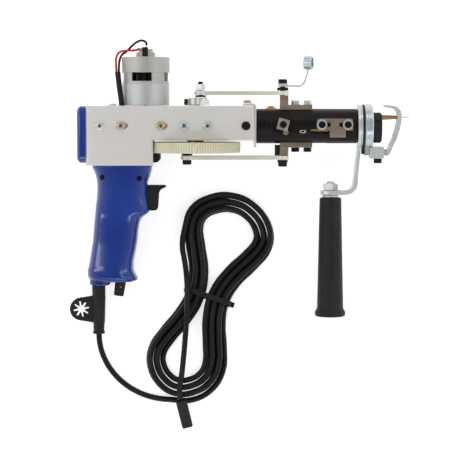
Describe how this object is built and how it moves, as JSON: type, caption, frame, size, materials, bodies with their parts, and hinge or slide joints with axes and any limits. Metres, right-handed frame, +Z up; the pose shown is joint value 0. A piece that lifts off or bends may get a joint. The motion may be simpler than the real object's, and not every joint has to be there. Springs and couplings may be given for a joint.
{
  "type": "handheld tufting machine",
  "caption": "Handheld electric tufting machine: pistol grip, front handle, motor with gear and crank drive, barrel with hollow needle, forked presser foot, yarn guide and a hanked cord.",
  "frame": {"origin": "centre of the machine's plan outline, without its free cord, on the bench that it lies on", "axes": "+X along the barrel towards the needle, +Y towards the motor, +Z up from the bench"},
  "size_m": [0.3254, 0.3648, 0.0865],
  "materials": {
    "sheet_metal": "brushed sheet",
    "blue_plastic": "gloss moulded",
    "black_plastic": "satin moulded",
    "black_rubber": "matt moulded",
    "motor_steel": "plain drawn steel",
    "zinc_steel": "zinc plated",
    "black_steel": "black oxide",
    "brown_steel": "milled, oiled",
    "black_aluminium": "black anodised",
    "aluminium": "machined",
    "brass": "turned",
    "white_nylon": "cut nylon",
    "red_cable": "extruded sheath",
    "black_cable": "extruded sheath"
  },
  "bodies": {
    "machine": {"housing_shell": "sheet_metal", "rear_cap": "blue_plastic", "gear_guard": "black_steel", "motor_can": "motor_steel", "motor_band": "zinc_steel", "motor_end_cap": "zinc_steel", "motor_terminals": "black_plastic", "lead_sleeve": "black_rubber", "motor_lead_red": "red_cable", "motor_lead_black": "black_cable", "upper_bush": "brass", "lower_bush": "brass", "front_plate": "sheet_metal", "front_plate_screw": "brass", "barrel": "black_aluminium", "lock_nut": "zinc_steel", "height_plate": "brown_steel", "height_screw_rear": "black_steel", "height_screw_front": "black_steel", "collar_gasket": "black_rubber", "front_collar": "aluminium", "nose_ring": "black_plastic", "foot_clamp": "zinc_steel", "foot_clamp_screw": "black_steel", "grip_right": "blue_plastic", "grip_left": "blue_plastic", "switch_body": "black_plastic", "speed_control": "aluminium", "cord_guard": "black_rubber", "key_holder": "black_rubber", "cord_hank": "black_cable", "cord_plug": "black_plastic", "cord_tie": "black_plastic", "cord_lead": "black_cable"},
    "trigger": {"trigger": "black_plastic", "trigger_spring": "zinc_steel"},
    "speed_knob": {"speed_knob": "black_plastic"},
    "presser_foot": {"presser_foot": "zinc_steel"},
    "front_handle": {"handle_bracket": "zinc_steel", "handle_grip": "black_plastic", "handle_bolt": "zinc_steel"},
    "drive_shaft": {"drive_gear": "white_nylon", "main_shaft": "zinc_steel", "crank_block": "zinc_steel", "crank_clamp_screw": "black_steel"},
    "motor_rotor": {"motor_rotor": "motor_steel", "motor_pinion": "zinc_steel"},
    "needle_carriage": {"needle_bar": "aluminium", "needle": "zinc_steel", "lower_bracket": "brown_steel", "lower_wrist_screw": "black_steel"},
    "looper_carriage": {"looper_bar": "aluminium", "looper_wire": "zinc_steel", "upper_bracket": "brown_steel", "upper_wrist_screw": "black_steel", "yarn_guide": "zinc_steel"},
    "lower_rod": {"lower_rod": "zinc_steel", "lower_crank_screw": "black_steel"},
    "upper_rod": {"upper_rod": "zinc_steel", "upper_crank_bolt": "zinc_steel"}
  },
  "joints": [
    {"name": "trigger_pull", "type": "slide", "parent": "machine", "child": "trigger", "axis": [-1, 0, 0], "range_m": [0, 0.006], "stiffness_N_per_m": 500, "springref_m": -0.003, "deforming": ["trigger_spring"]},
    {"name": "speed_turn", "type": "hinge", "parent": "machine", "child": "speed_knob", "pos_m": [-0.11385, -0.08689, 0.01863], "axis": [-0.1392, -0.9721, -0.1888], "range_deg": [-135, 135]},
    {"name": "foot_reach", "type": "slide", "parent": "machine", "child": "presser_foot", "axis": [1, 0, 0], "range_m": [-0.002, 0.005]},
    {"name": "handle_swing", "type": "hinge", "parent": "machine", "child": "front_handle", "pos_m": [0.11415, 0.05959, 0.04708], "axis": [1, 0, 0], "range_deg": [-90, 90]},
    {"name": "drive_spin", "type": "hinge", "parent": "machine", "child": "drive_shaft", "pos_m": [-0.04185, 0.05959, 0.04708], "axis": [0, 0.9817, 0.1907], "continuous": true},
    {"name": "rotor_spin", "type": "hinge", "parent": "machine", "child": "motor_rotor", "pos_m": [-0.08905, 0.05959, 0.04708], "axis": [0, 0.9817, 0.1907], "continuous": true},
    {"name": "needle_stroke", "type": "slide", "parent": "machine", "child": "needle_carriage", "axis": [1, 0, 0], "range_m": [0, 0.016]},
    {"name": "looper_stroke", "type": "slide", "parent": "machine", "child": "looper_carriage", "axis": [1, 0, 0], "range_m": [-0.01, 0]},
    {"name": "lower_rod_swing", "type": "hinge", "parent": "needle_carriage", "child": "lower_rod", "pos_m": [0.04155, 0.02994, 0.04133], "axis": [0, 0.9817, 0.1907], "range_deg": [-5, 5]},
    {"name": "upper_rod_swing", "type": "hinge", "parent": "looper_carriage", "child": "upper_rod", "pos_m": [0.04155, 0.09051, 0.05309], "axis": [0, 0.9817, 0.1907], "range_deg": [-3.6, 3.6]}
  ],
  "couplings": [
    {"joint": "rotor_spin", "follows": "drive_spin", "ratio": -8.8333}
  ]
}
